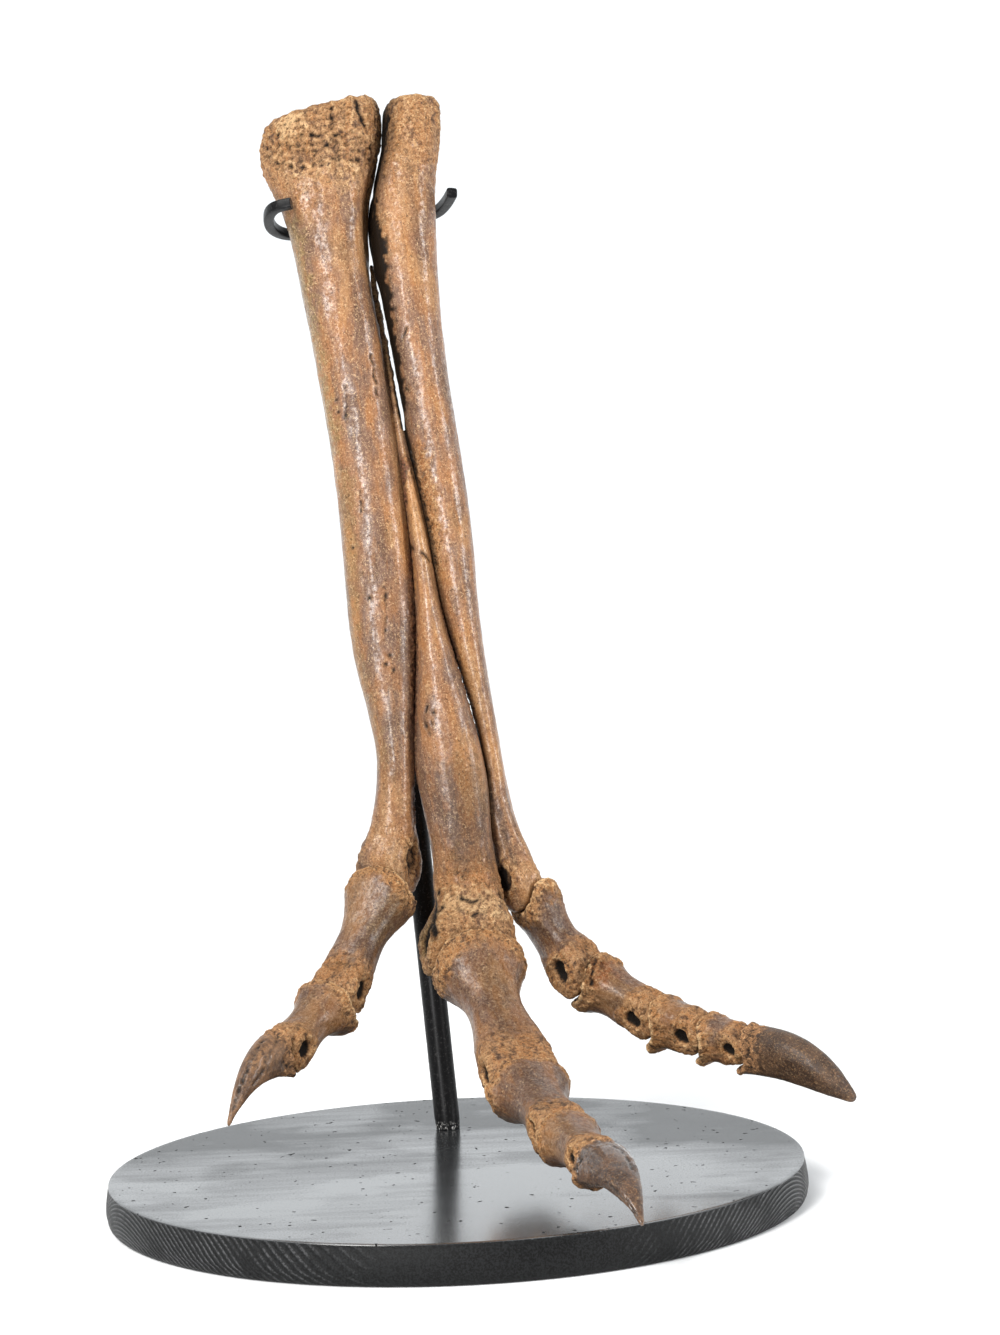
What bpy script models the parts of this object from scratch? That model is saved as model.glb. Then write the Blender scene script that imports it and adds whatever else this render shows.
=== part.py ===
"""Fossil left foot of an ornithomimus, mounted on a round wooden board.

The origin is the centre of the board's underside, +Z is up, and the front of the foot faces -Y,
so that +X is on the right of somebody who looks at the toes. Sizes are in millimetres until a
mesh is made, which is where MM turns them to metres.
"""
import math

import bpy
import numpy as np

MM = 0.001
GAP = 0.3            # clearance between neighbouring pieces
JOINT_GAP = 0.85     # clearance of a toe joint, wide enough for its faceted cup and roller

# Stand
BOARD_RADIUS = 179.5
BOARD_THICKNESS = 20.0
BOARD_BULGE = 2.0          # how far the side swells past the sharp top edge
BOARD_UNDERCUT = 2.5       # how far the worn lower edge is rounded back
BOARD_SIDES = 56
FOOT_PLACE = (2.0, 0.0, 1.0)     # where the foot, post and yoke stand on the board
POST_RADIUS = 6.35
POST_FOOT = (-7.0, 94.0)
POST_TOP = (-42.0, 197.6, 521.0)
POST_SIDES = 16
YOKE_BAR = 6.0             # square steel bar
YOKE_CHAMFER = 0.7
YOKE_RISE = 0.30           # the bar climbs this much for each millimetre towards the front
YOKE_HEIGHT = 514.0        # height of the bar where it crosses behind the bones
YOKE_BACK = 186.5          # depth of that crossing
YOKE_LEVEL_RISE = 0.10     # the crossing is this much higher for each millimetre to the right

# Metatarsals: the plane that their shafts lie in leans back as it rises
SHAFT_LEAN = 0.21
SHAFT_BASE_DEPTH = 78.0
SHAFT_BASE_HEIGHT = 127.0
SHAFT_ROLL = math.radians(7.0)
SHAFT_SIDES = 20
SHAFT_RINGS = 17

# Each station of a shaft: height, left edge, right edge, thickness, setback behind the plane
METATARSAL_2 = (
    (576.0, -90.0, -22.6, 41.0, 0.0),
    (568.0, -94.5, -21.7, 45.0, 0.0),
    (556.0, -94.0, -21.6, 47.0, 0.0),
    (543.0, -88.5, -27.0, 44.0, 0.0),
    (526.0, -79.0, -32.4, 40.0, 0.0),
    (500.0, -74.0, -33.2, 38.0, 0.0),
    (438.0, -63.5, -25.6, 36.0, 0.0),
    (372.0, -55.0, -18.8, 36.0, 0.0),
    (307.0, -51.2, -13.5, 34.0, 0.0),
    (275.0, -48.0, -14.1, 32.0, 0.0),
    (243.0, -40.0, -16.9, 30.0, 0.0),
    (211.0, -37.7, -17.7, 28.0, 0.0),
    (192.0, -41.0, -18.6, 28.0, 0.0),
)
METATARSAL_3 = (
    (490.0, -32.6, -29.6, 7.0, 13.0),
    (471.0, -31.0, -27.6, 9.0, 12.0),
    (438.0, -26.0, -22.3, 12.0, 8.0),
    (405.0, -21.4, -17.9, 14.0, 3.0),
    (372.0, -17.9, -11.4, 18.0, -2.0),
    (340.0, -14.4, -5.4, 22.0, -4.0),
    (307.0, -12.8, -1.4, 25.0, -4.0),
    (275.0, -13.4, 6.3, 27.0, -4.0),
    (243.0, -16.0, 15.0, 29.0, -4.0),
    (211.0, -16.9, 22.3, 30.0, -3.0),
    (190.0, -13.0, 22.6, 29.0, -2.0),
    (165.0, -9.0, 24.0, 29.0, 0.0),
    (148.0, -10.0, 28.0, 32.0, 0.0),
)
METATARSAL_4 = (
    (579.5, -20.0, 11.4, 36.0, 0.0),
    (571.0, -20.5, 13.4, 38.0, 0.0),
    (555.0, -20.6, 10.8, 38.0, 0.0),
    (538.0, -27.4, 7.0, 36.0, 0.0),
    (505.0, -31.6, 6.2, 34.0, 0.0),
    (471.0, -26.8, 6.2, 33.0, 0.0),
    (438.0, -21.2, 8.2, 32.0, 0.0),
    (405.0, -17.0, 11.8, 31.0, 0.0),
    (372.0, -10.7, 16.6, 30.0, 0.0),
    (340.0, -4.7, 19.3, 29.0, 1.0),
    (307.0, -0.8, 20.6, 28.0, 3.0),
    (275.0, 7.0, 23.2, 27.0, 5.0),
    (243.0, 15.6, 27.0, 26.0, 9.0),
    (211.0, 20.0, 31.6, 26.0, 13.0),
    (190.0, 19.0, 35.2, 27.0, 15.0),
)
HEAD_SLOPE_2 = math.radians(6.5)       # the inner head falls away to the left
HEAD_SLOPE_4 = math.radians(-7.0)      # the outer head falls away to the right
HEAD_SLOPE_SPAN = 45.0                 # below the top the slope fades out over this height
CROWN_SHARE = 0.82                     # the flat of a head is this share of its rim
CROWN_RISE = 1.6
# Height and how far the backs of the two outer heads swell there, to close the gap between them
CLOSING = ((485.0, 0.0), (505.0, 4.2), (515.0, 4.8), (535.0, 5.8), (555.0, 5.8), (565.0, 5.3), (580.0, 5.3))
CLOSING_SHARE_2 = 1.0                  # the inner head swells to the right
CLOSING_SHARE_4 = -1.2                 # and the outer head to the left
NECK_SHARES = (0.3, 0.55, 0.8)         # rings between a shaft's last station and its roller's axis
NECK_THICKNESS = 0.66                  # of the roller's radius

# Rollers and the pits on their sides where the ligaments held on
ROLLER_TURNS = (0.0, 22.0, 43.0, 62.0, 78.0)     # degrees round the axis at which the rings lie
ROLLER_TAPER = 0.16                    # a roller is narrower towards its far end
ROLLER_SQUARENESS = 3.2
GROOVE_REACH = 0.55                    # half width of a roller's middle groove
PIT_REACH = 0.62                       # of the roller's radius
PIT_DEPTH = 0.26                       # of the roller's half width
PIT_FALL = 1.6
PIT_EDGE = 0.6                         # only the outer part of the width is pushed in

# Toe bones
BONE_SIDES = 16
CUP_SHARES = (0.34, 0.68)              # rings inside a cup
CUP_FLOOR = 0.40                       # the rim stays this share of the cup's radius beyond the joint
CUP_SQUARENESS = 2.5
LIP_STEP = 0.2
RIM_SHARE = 0.88                       # a cup's rim is rounded to this share of the bone's base
BONE_SHARES = (0.07, 0.18, 0.31, 0.44, 0.56, 0.68, 0.79, 0.90)
BONE_SQUARENESS = (2.3, 3.0)
BASE_SWELL = 0.07                      # a bone is thickest just beyond its cup's rim
BASE_SWELL_SPAN = 0.30
WAIST_PLACE = 0.56
LUMP_SHARE = 0.12                      # the lumps below a cup keep their drop this far along the bone
BONE_GROOVE = 0.07

# Claws
CLAW_SHARES = (0.07, 0.17, 0.29, 0.42, 0.55, 0.68, 0.80, 0.91, 0.985)
CLAW_SQUARENESS = 2.2
CREASE_DEPTH = 0.10                    # the vessel groove along each side
CREASE_WIDTH = 0.25

# Toes: the joint centres of each toe, from the ball of the foot to the claw's tip, lie in one plane
TOE_2_JOINTS = ((-29.5, 85.0, 167.0), (-60.0, 38.0, 107.5), (-85.5, -4.0, 84.0), (-115.0, -56.0, 54.0))
TOE_3_JOINTS = ((7.0, 75.0, 128.0), (32.5, -8.0, 66.5), (50.5, -79.0, 50.5), (66.0, -136.0, 47.5),
                (86.5, -205.0, 29.0))
TOE_4_JOINTS = ((38.5, 98.0, 154.0), (64.5, 84.0, 107.5), (101.0, 56.0, 84.5), (124.5, 34.0, 77.5),
                (147.0, 14.0, 73.0), (203.0, -33.0, 50.0))
TOE_2_ROLL = math.radians(8.0)
TOE_3_ROLL = 0.0
TOE_4_ROLL = math.radians(-20.0)
TOE_2_ROLLERS = ((17.5, 17.0), (14.0, 15.5), (13.0, 11.5))        # radius and half width
TOE_3_ROLLERS = ((22.0, 28.0), (15.5, 22.0), (13.5, 15.5), (11.5, 12.5))
TOE_4_ROLLERS = ((15.5, 10.3), (16.0, 14.5), (13.5, 12.5), (12.3, 11.0), (10.5, 9.5))

# Each toe bone: its cup and its waist, both as half width, rise and drop
TOE_2_BONES = (((19.5, 16.5, 18.5), (11.8, 10.5, 11.0)),
               ((17.3, 13.0, 21.0), (10.5, 9.0, 9.5)))
TOE_3_BONES = (((26.5, 21.0, 25.0), (14.0, 12.0, 12.5)),
               ((22.0, 14.8, 20.5), (12.0, 10.5, 11.5)),
               ((16.5, 12.8, 15.5), (11.0, 9.5, 10.0)))
TOE_4_BONES = (((12.3, 17.0, 18.5), (9.8, 9.6, 16.5)),
               ((14.5, 15.4, 23.0), (11.5, 10.8, 14.0)),
               ((13.0, 13.4, 20.0), (11.5, 11.6, 13.5)),
               ((11.5, 12.2, 17.0), (10.0, 10.8, 12.5)))
TOE_3_FIRST_WAIST = 0.42               # the big first bone of the middle toe is narrowest nearer its cup

# Each claw: half width, rise and drop of its base, and how far its middle arches up
CLAW_2 = ((11.0, 17.0, 13.0), 9.5)
CLAW_3 = ((15.5, 12.5, 14.0), 7.5)
CLAW_4 = ((11.5, 14.0, 15.0), 7.5)
POINTED = {"tip": 1.3, "fall": 1.25, "fullness": 0.9, "hollow": 0.22}
BLUNT = {"tip": 2.4, "fall": 2.8, "fullness": 0.75, "hollow": 0.02}

# How each long foot bone differs
METATARSAL_2_FORM = {"groove": 0.05, "squareness": 2.4, "roller_shift": -3.8}
METATARSAL_3_FORM = {"groove": 0.03, "squareness": 2.3, "roller_shift": 0.0}
METATARSAL_4_FORM = {"groove": 0.05, "squareness": 2.3, "roller_shift": -5.2}


class Toe:
    """The plane and the rollers of one toe."""

    def __init__(self, joints, roll, rollers):
        self.joints = [np.add(joint, FOOT_PLACE) for joint in joints]
        self.radii = [radius for radius, width in rollers]
        self.widths = [width for radius, width in rollers]
        along = unit(self.joints[-1] - self.joints[0])
        level = unit(np.cross(along, (0.0, 0.0, 1.0)))
        dorsal = np.cross(level, along)
        self.across = math.cos(roll) * level + math.sin(roll) * dorsal


def unit(vector):
    """The vector at length one."""
    vector = np.asarray(vector, dtype=float)
    return vector / np.linalg.norm(vector)


def ease(value):
    """Smooth step from 0 to 1."""
    value = np.clip(value, 0.0, 1.0)
    return value * value * (3.0 - 2.0 * value)


def mix(start, end, share):
    """Straight blend of two numbers or vectors."""
    return start + (end - start) * share


def superellipse(sides, right, left, back, front, squareness):
    """Points (across, depth) of a rounded box, with its own reach on each of its four sides."""
    angles = np.linspace(0.0, 2.0 * math.pi, sides, endpoint=False)
    cosine = np.cos(angles)
    sine = np.sin(angles)
    power = 2.0 / squareness
    across = np.sign(cosine) * np.abs(cosine) ** power * np.where(cosine > 0, right, left)
    depth = np.sign(sine) * np.abs(sine) ** power * np.where(sine > 0, back, front)
    return across, depth


def smooth_rows(rows, count):
    """Rows of a station table read at even steps from a smooth curve through them."""
    table = np.array(rows)
    reach = np.abs(table[:, 0] - table[0, 0])
    slopes = np.gradient(table, reach, axis=0)
    result = []
    for place in np.linspace(0.0, reach[-1], count):
        index = min(np.searchsorted(reach, place, side="right") - 1, len(reach) - 2)
        span = reach[index + 1] - reach[index]
        t = (place - reach[index]) / span
        start, end = table[index], table[index + 1]
        rise_in, rise_out = slopes[index] * span, slopes[index + 1] * span
        result.append((2 * t**3 - 3 * t**2 + 1) * start + (t**3 - 2 * t**2 + t) * rise_in
                      + (3 * t**2 - 2 * t**3) * end + (t**3 - t**2) * rise_out)
    return result


def material(name, colour, roughness, metallic=0.0):
    """A Principled material with one colour and finish."""
    made = bpy.data.materials.new(name)
    made.use_nodes = True
    shader = made.node_tree.nodes["Principled BSDF"]
    shader.inputs["Base Color"].default_value = (*colour, 1.0)
    shader.inputs["Roughness"].default_value = roughness
    shader.inputs["Metallic"].default_value = metallic
    return made


def skin(name, rings, finish, sharp_angle=50.0):
    """One closed body over a row of rings, each end closed by a fan to its last ring's middle."""
    sides = len(rings[0])
    points = [tuple(point * MM) for ring in rings for point in ring]
    first_middle = len(points)
    points.append(tuple(np.mean(rings[0], axis=0) * MM))
    points.append(tuple(np.mean(rings[-1], axis=0) * MM))
    last_start = (len(rings) - 1) * sides
    faces = []
    for side in range(sides):
        after = (side + 1) % sides
        for ring in range(len(rings) - 1):
            low = ring * sides
            high = low + sides
            faces.append((low + side, low + after, high + after, high + side))
        faces.append((first_middle, after, side))
        faces.append((first_middle + 1, last_start + side, last_start + after))
    mesh = bpy.data.meshes.new(name)
    mesh.from_pydata(points, [], faces)
    mesh.validate()
    if signed_volume(mesh) < 0.0:
        mesh.flip_normals()
    mesh.materials.append(finish)
    mesh.shade_smooth()
    mesh.set_sharp_from_angle(angle=math.radians(sharp_angle))
    made = bpy.data.objects.new(name, mesh)
    bpy.context.scene.collection.objects.link(made)
    return made


def signed_volume(mesh):
    """Volume inside the faces: negative where they point in."""
    total = 0.0
    for face in mesh.polygons:
        corners = [mesh.vertices[index].co for index in face.vertices]
        for second, third in zip(corners[1:], corners[2:]):
            total += corners[0].dot(second.cross(third))
    return total


def shaft_frame(height):
    """Depth of the shafts' plane at a height, and a ring's two directions there."""
    depth = SHAFT_BASE_DEPTH + SHAFT_LEAN * (height - SHAFT_BASE_HEIGHT)
    across = np.array((math.cos(SHAFT_ROLL), 0.0, math.sin(SHAFT_ROLL)))
    back = unit((0.0, 1.0, -SHAFT_LEAN))
    return depth, across, back


def roller_depth(radius, offset, neck):
    """Half thickness beside a roller's axis: its circle, or the bone's neck where that is more."""
    circle = math.sqrt(max(radius**2 - offset**2, 0.0))
    return max(circle, neck)


def collateral_pit(across, depth, along, half_width, radius):
    """Push in both sides of a roller round its axis, where the ligaments held on."""
    distance = np.sqrt(depth**2 + along**2) / (PIT_REACH * radius)
    dent = PIT_DEPTH * half_width * np.exp(-PIT_FALL * distance**2)
    return across - np.sign(across) * np.where(np.abs(across) > PIT_EDGE * half_width, dent, 0.0)


def roller_groove(across, half_width, share):
    """How much of a roller's radius is left across its width, with a shallow groove in the middle."""
    inside = np.clip(1.0 - (across / (GROOVE_REACH * half_width)) ** 2, 0.0, 1.0)
    return 1.0 - share * inside


def roller_end(centre, across_axis, back_axis, down_axis, half_width, radius, sides, groove):
    """Rings of a roller's free half, from the ring through its axis to its far end."""
    rings = []
    for degrees in ROLLER_TURNS:
        turn = math.radians(degrees)
        reach = half_width * (1.0 - ROLLER_TAPER * (1.0 - math.cos(turn)))
        across, depth = superellipse(sides, reach, reach, radius, radius, ROLLER_SQUARENESS)
        along = radius * math.sin(turn)
        across = collateral_pit(across, depth * math.cos(turn), along, half_width, radius)
        left_over = roller_groove(across, half_width, groove)
        rings.append(centre + np.outer(across, across_axis)
                     + np.outer(depth * math.cos(turn) * left_over, back_axis)
                     + np.outer(along * left_over, down_axis))
    return rings


def metatarsal(name, stations, toe, finish, groove, squareness, roller_shift, head_slope=0.0,
               closing_share=0.0):
    """One long foot bone: a head, a shaft through its stations and the roller for its toe."""
    rows = smooth_rows(stations, SHAFT_RINGS)
    top_height = rows[0][0]
    rings = []
    for height, left, right, thickness, setback in rows:
        depth, across_axis, back_axis = shaft_frame(height)
        centre = np.add(((left + right) / 2.0, depth + setback, height), FOOT_PLACE)
        half = (right - left) / 2.0
        across, back = superellipse(SHAFT_SIDES, half, half, thickness / 2.0, thickness / 2.0, squareness)
        swell = closing_share * np.interp(height, *zip(*CLOSING))
        across = across + swell * np.maximum(back / (thickness / 2.0), 0.0)
        slope = math.tan(head_slope) * ease(1.0 - (top_height - height) / HEAD_SLOPE_SPAN)
        ring = centre + np.outer(across, across_axis) + np.outer(back, back_axis)
        ring[:, 2] += across * slope
        rings.append(ring)
    rim_middle = np.mean(rings[0], axis=0)
    crown = rim_middle + (rings[0] - rim_middle) * CROWN_SHARE
    crown[:, 2] += CROWN_RISE
    rings.insert(0, crown)

    height, left, right, thickness, setback = rows[-1]
    depth, across_axis, back_axis = shaft_frame(height)
    centre = np.add(((left + right) / 2.0, depth + setback, height), FOOT_PLACE)
    roller_axis = -toe.across
    joint = toe.joints[0] + roller_axis * roller_shift
    radius = toe.radii[0]
    half_width = toe.widths[0]
    down = unit(joint - centre)
    down = unit(down - roller_axis * np.dot(down, roller_axis))
    roller_back = np.cross(down, roller_axis)
    if roller_back[1] < 0.0:
        roller_back = -roller_back
    distance = np.linalg.norm(joint - centre)
    for share in NECK_SHARES:
        blend = ease(share)
        axis = unit(mix(across_axis, roller_axis, blend))
        rear = unit(mix(back_axis, roller_back, blend))
        offset = (1.0 - share) * distance
        reach = mix((right - left) / 2.0, half_width, blend)
        neck = mix(thickness / 2.0, NECK_THICKNESS * radius, blend)
        thick = roller_depth(radius, offset, neck)
        corner = mix(squareness, ROLLER_SQUARENESS, blend)
        across, back = superellipse(SHAFT_SIDES, reach, reach, thick, thick, corner)
        across = collateral_pit(across, back, offset, half_width, radius)
        back = back * roller_groove(across, half_width, groove * blend)
        rings.append(mix(centre, joint, share) + np.outer(across, axis) + np.outer(back, rear))
    rings += roller_end(joint, roller_axis, roller_back, down, half_width, radius, SHAFT_SIDES, groove)
    return skin(name, rings, finish)


def bone_frame(toe, index):
    """The joint that a toe bone starts from, its length and its three directions."""
    start = toe.joints[index]
    end = toe.joints[index + 1]
    along = unit(end - start)
    dorsal = np.cross(toe.across, along)
    return start, np.linalg.norm(end - start), along, dorsal


def cup_depth(height, cup_radius):
    """How far along a bone its cup lies, for a height above the bone's axis."""
    hollow = np.sqrt(np.maximum(cup_radius**2 - height**2, 0.0))
    return np.maximum(hollow, CUP_FLOOR * cup_radius)


def cup_rings(across, height, cup_radius):
    """The hollow end of a bone as (along, across, height) rings, from its middle to its rim."""
    rings = []
    for share in CUP_SHARES:
        rings.append((cup_depth(height * share, cup_radius), across * share, height * share))
    rings.append((cup_depth(height, cup_radius) + LIP_STEP, across, height))
    return rings


def placed(ring, start, along, across_axis, dorsal):
    """World points of a ring that is given along, across and above a bone's axis."""
    return (start + np.outer(ring[0], along) + np.outer(ring[1], across_axis)
            + np.outer(ring[2], dorsal))


def toe_bone(name, toe, index, base, waist, finish, waist_place=WAIST_PLACE):
    """One toe bone. base is (half width, rise, drop) of its cup, and waist the same of its middle."""
    start, length, along, dorsal = bone_frame(toe, index)
    cup_radius = toe.radii[index] + JOINT_GAP
    radius = toe.radii[index + 1]
    half_width = toe.widths[index + 1]
    width, rise, drop = (RIM_SHARE * size for size in base)
    across, height = superellipse(BONE_SIDES, width, width, rise, drop, CUP_SQUARENESS)
    local = cup_rings(across, height, cup_radius)
    rim = cup_depth(height, cup_radius)
    for share in BONE_SHARES:
        if share < waist_place:
            swell = 1.0 + BASE_SWELL * math.sin(math.pi * min(share / BASE_SWELL_SPAN, 1.0))
            blend = ease(share / waist_place)
            lump_blend = ease((share - LUMP_SHARE) / (waist_place - LUMP_SHARE))
            blends = (blend, blend, lump_blend)
            sizes = [mix(wide, narrow, part) * swell for wide, narrow, part in zip(base, waist, blends)]
        else:
            blend = ease((share - waist_place) / (1.0 - waist_place))
            offset = (1.0 - share) * (length - cup_radius * 0.8)
            sizes = [mix(waist[0], half_width, blend),
                     roller_depth(radius, offset, waist[1]), roller_depth(radius, offset, waist[2])]
        squareness = mix(*BONE_SQUARENESS, share)
        side, rise = superellipse(BONE_SIDES, sizes[0], sizes[0], sizes[1], sizes[2], squareness)
        along_axis = rim * (1.0 - share) + length * share
        side = collateral_pit(side, rise, length - along_axis, half_width, radius)
        local.append((along_axis, side, rise))
    rings = [placed(ring, start, along, toe.across, dorsal) for ring in local]
    end = start + along * length
    rings += roller_end(end, toe.across, dorsal, along, half_width, radius, BONE_SIDES, BONE_GROOVE)
    return skin(name, rings, finish)


def claw(name, toe, base, arch, finish, tip, fall, fullness, hollow):
    """The last bone of a toe: a cup, then a horn-shaped core that arches down to its tip."""
    start, length, along, dorsal = bone_frame(toe, len(toe.joints) - 2)
    cup_radius = toe.radii[-1] + JOINT_GAP
    across, height = superellipse(BONE_SIDES, base[0], base[0], base[1], base[2], CLAW_SQUARENESS)
    local = cup_rings(across, height, cup_radius)
    rim = cup_depth(height, cup_radius)
    for share in CLAW_SHARES:
        taper = (1.0 - share**fall) ** fullness
        width = max(base[0] * taper, tip)
        rise = max(base[1] * taper, tip)
        drop = max(base[2] * (taper - hollow * math.sin(math.pi * share)), tip)
        side, up = superellipse(BONE_SIDES, width, width, rise, drop, CLAW_SQUARENESS)
        crease = np.exp(-(up / (CREASE_WIDTH * rise)) ** 2) * math.sin(math.pi * share)
        side = side * (1.0 - CREASE_DEPTH * crease)
        bend = arch * math.sin(math.pi * share)
        along_axis = rim * (1.0 - share) + length * share
        local.append((along_axis, side, up + bend))
    rings = [placed(ring, start, along, toe.across, dorsal) for ring in local]
    return skin(name, rings, finish)


def board(finish):
    """The round board: sharp top edge, slightly swollen side, worn lower edge."""
    profile = (
        (BOARD_RADIUS - BOARD_UNDERCUT, 0.0),
        (BOARD_RADIUS - 0.2 * BOARD_UNDERCUT, 0.16 * BOARD_THICKNESS),
        (BOARD_RADIUS + BOARD_BULGE, 0.5 * BOARD_THICKNESS),
        (BOARD_RADIUS + 0.7 * BOARD_BULGE, 0.8 * BOARD_THICKNESS),
        (BOARD_RADIUS, BOARD_THICKNESS),
    )
    rings = []
    for radius, height in profile:
        across, depth = superellipse(BOARD_SIDES, radius, radius, radius, radius, 2.0)
        rings.append(np.column_stack((across, depth, np.full(BOARD_SIDES, height))))
    return skin("base_board", rings, finish, sharp_angle=35.0)


def post(finish):
    """The round rod from the board to the back of the yoke, cut level at both ends."""
    across, depth = superellipse(POST_SIDES, POST_RADIUS, POST_RADIUS, POST_RADIUS, POST_RADIUS, 2.0)
    rings = []
    foot = (*POST_FOOT, BOARD_THICKNESS + GAP - FOOT_PLACE[2])
    for middle in (foot, POST_TOP):
        rings.append(np.add(middle, FOOT_PLACE) + np.column_stack((across, depth, np.zeros(POST_SIDES))))
    return skin("post", rings, finish)


YOKE_ROUTE = ((-72.5, 138.0), (-81.5, 140.5), (-86.0, 151.0), (-86.0, 168.0), (-80.5, 181.0),
              (-70.0, YOKE_BACK), (-40.0, YOKE_BACK), (-8.0, YOKE_BACK), (5.0, 183.0),
              (11.5, 171.0), (15.5, 156.0))


def yoke(finish):
    """The square bar, bent to a hook on the left and an open arm on the right."""
    rows = [(place, *point) for place, point in enumerate(YOKE_ROUTE)]
    route = np.array([row[1:] for row in smooth_rows(rows, 30)])
    heights = (YOKE_HEIGHT + YOKE_RISE * (YOKE_BACK - route[:, 1])
               + YOKE_LEVEL_RISE * (route[:, 0] - POST_TOP[0]))
    centres = np.column_stack((route, heights)) + FOOT_PLACE
    headings = np.gradient(centres, axis=0)
    half = YOKE_BAR / 2.0
    inner = half - YOKE_CHAMFER
    corners = ((half, inner), (inner, half), (-inner, half), (-half, inner),
               (-half, -inner), (-inner, -half), (inner, -half), (half, -inner))
    rings = []
    for centre, heading in zip(centres, headings):
        heading = unit(heading)
        up = unit(np.array((0.0, YOKE_RISE, 1.0)) - heading * np.dot((0.0, YOKE_RISE, 1.0), heading))
        aside = np.cross(heading, up)
        rings.append(np.array([centre + aside * x + up * y for x, y in corners]))
    return skin("yoke", rings, finish, sharp_angle=30.0)


def build():
    """The whole mounted foot."""
    for old in list(bpy.data.objects):
        bpy.data.objects.remove(old)
    bone = material("fossil_bone", (0.30, 0.19, 0.12), 0.55)
    horn = material("fossil_claw", (0.20, 0.12, 0.075), 0.42)
    stained_wood = material("stained_wood", (0.018, 0.020, 0.022), 0.38)
    black_steel = material("black_steel", (0.012, 0.012, 0.013), 0.40)

    toe_2 = Toe(TOE_2_JOINTS, TOE_2_ROLL, TOE_2_ROLLERS)
    toe_3 = Toe(TOE_3_JOINTS, TOE_3_ROLL, TOE_3_ROLLERS)
    toe_4 = Toe(TOE_4_JOINTS, TOE_4_ROLL, TOE_4_ROLLERS)
    metatarsal("metatarsal_2", METATARSAL_2, toe_2, bone, **METATARSAL_2_FORM,
               head_slope=HEAD_SLOPE_2, closing_share=CLOSING_SHARE_2)
    metatarsal("metatarsal_3", METATARSAL_3, toe_3, bone, **METATARSAL_3_FORM)
    metatarsal("metatarsal_4", METATARSAL_4, toe_4, bone, **METATARSAL_4_FORM,
               head_slope=HEAD_SLOPE_4, closing_share=CLOSING_SHARE_4)

    for index, (base, waist) in enumerate(TOE_2_BONES):
        toe_bone(f"toe_2_bone_{index + 1}", toe_2, index, base, waist, bone)
    for index, (base, waist) in enumerate(TOE_3_BONES):
        waist_place = WAIST_PLACE if index else TOE_3_FIRST_WAIST
        toe_bone(f"toe_3_bone_{index + 1}", toe_3, index, base, waist, bone, waist_place)
    for index, (base, waist) in enumerate(TOE_4_BONES):
        toe_bone(f"toe_4_bone_{index + 1}", toe_4, index, base, waist, bone)
    claw("toe_2_claw", toe_2, *CLAW_2, horn, **POINTED)
    claw("toe_3_claw", toe_3, *CLAW_3, horn, **POINTED)
    claw("toe_4_claw", toe_4, *CLAW_4, horn, **BLUNT)

    board(stained_wood)
    post(black_steel)
    yoke(black_steel)


build()
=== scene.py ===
"""The looks of a mounted fossil foot: weathered bones and claws, a black steel stand and a stained board.

Each bone is the solid's surface made dense and even, then worn, pitted and cracked, with its masks kept
as attributes that its finish reads. Lengths are in millimetres until a mesh or an object is placed.
"""
import math

import bmesh
import bpy
import numpy as np
from mathutils import Matrix, Vector, noise
from mathutils.bvhtree import BVHTree


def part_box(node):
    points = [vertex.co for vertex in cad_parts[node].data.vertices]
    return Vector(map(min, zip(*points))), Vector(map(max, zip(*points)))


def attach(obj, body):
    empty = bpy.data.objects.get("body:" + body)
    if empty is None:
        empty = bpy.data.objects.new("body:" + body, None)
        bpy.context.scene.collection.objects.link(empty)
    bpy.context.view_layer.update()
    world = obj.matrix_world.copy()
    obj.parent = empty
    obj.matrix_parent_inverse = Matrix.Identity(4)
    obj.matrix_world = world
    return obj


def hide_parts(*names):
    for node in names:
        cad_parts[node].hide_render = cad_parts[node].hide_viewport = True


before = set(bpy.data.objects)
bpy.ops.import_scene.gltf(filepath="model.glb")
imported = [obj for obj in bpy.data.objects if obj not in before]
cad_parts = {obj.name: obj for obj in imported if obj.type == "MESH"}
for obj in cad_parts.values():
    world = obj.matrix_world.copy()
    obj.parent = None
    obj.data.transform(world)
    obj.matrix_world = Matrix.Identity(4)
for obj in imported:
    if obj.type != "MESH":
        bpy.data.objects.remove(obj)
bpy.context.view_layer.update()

noise.seed_set(1)                      # without it the noise vectors start from the clock

MM = 0.001
FAR = 1e9                              # further than any distance on the foot

# The photograph's view
PHOTO_SIZE = (1000.0, 1335.0)
VIEW_FROM = np.array((33.1, -1800.0, 398.3))
VIEW_FOCAL = 3515.0                    # in the photograph's pixels
VIEW_PITCH = math.radians(3.87)
VIEW_ROLL = math.radians(-2.37)
SENSOR = 36.0

# The stand and the toes, as the solids have them
BOARD_RADIUS = 179.5
BOARD_THICKNESS = 20.0
FOOT_PLACE = np.array((2.0, 0.0, 1.0))
TOE_2_JOINTS = ((-29.5, 85.0, 167.0), (-60.0, 38.0, 107.5), (-85.5, -4.0, 84.0), (-115.0, -56.0, 54.0))
TOE_3_JOINTS = ((7.0, 75.0, 128.0), (32.5, -8.0, 66.5), (50.5, -79.0, 50.5), (66.0, -136.0, 47.5),
                (86.5, -205.0, 29.0))
TOE_4_JOINTS = ((38.5, 98.0, 154.0), (64.5, 84.0, 107.5), (101.0, 56.0, 84.5), (124.5, 34.0, 77.5),
                (147.0, 14.0, 73.0), (203.0, -33.0, 50.0))
TOE_JOINTS = {2: TOE_2_JOINTS, 3: TOE_3_JOINTS, 4: TOE_4_JOINTS}
TOE_ROLLS = {2: math.radians(8.0), 3: 0.0, 4: math.radians(-20.0)}
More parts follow.
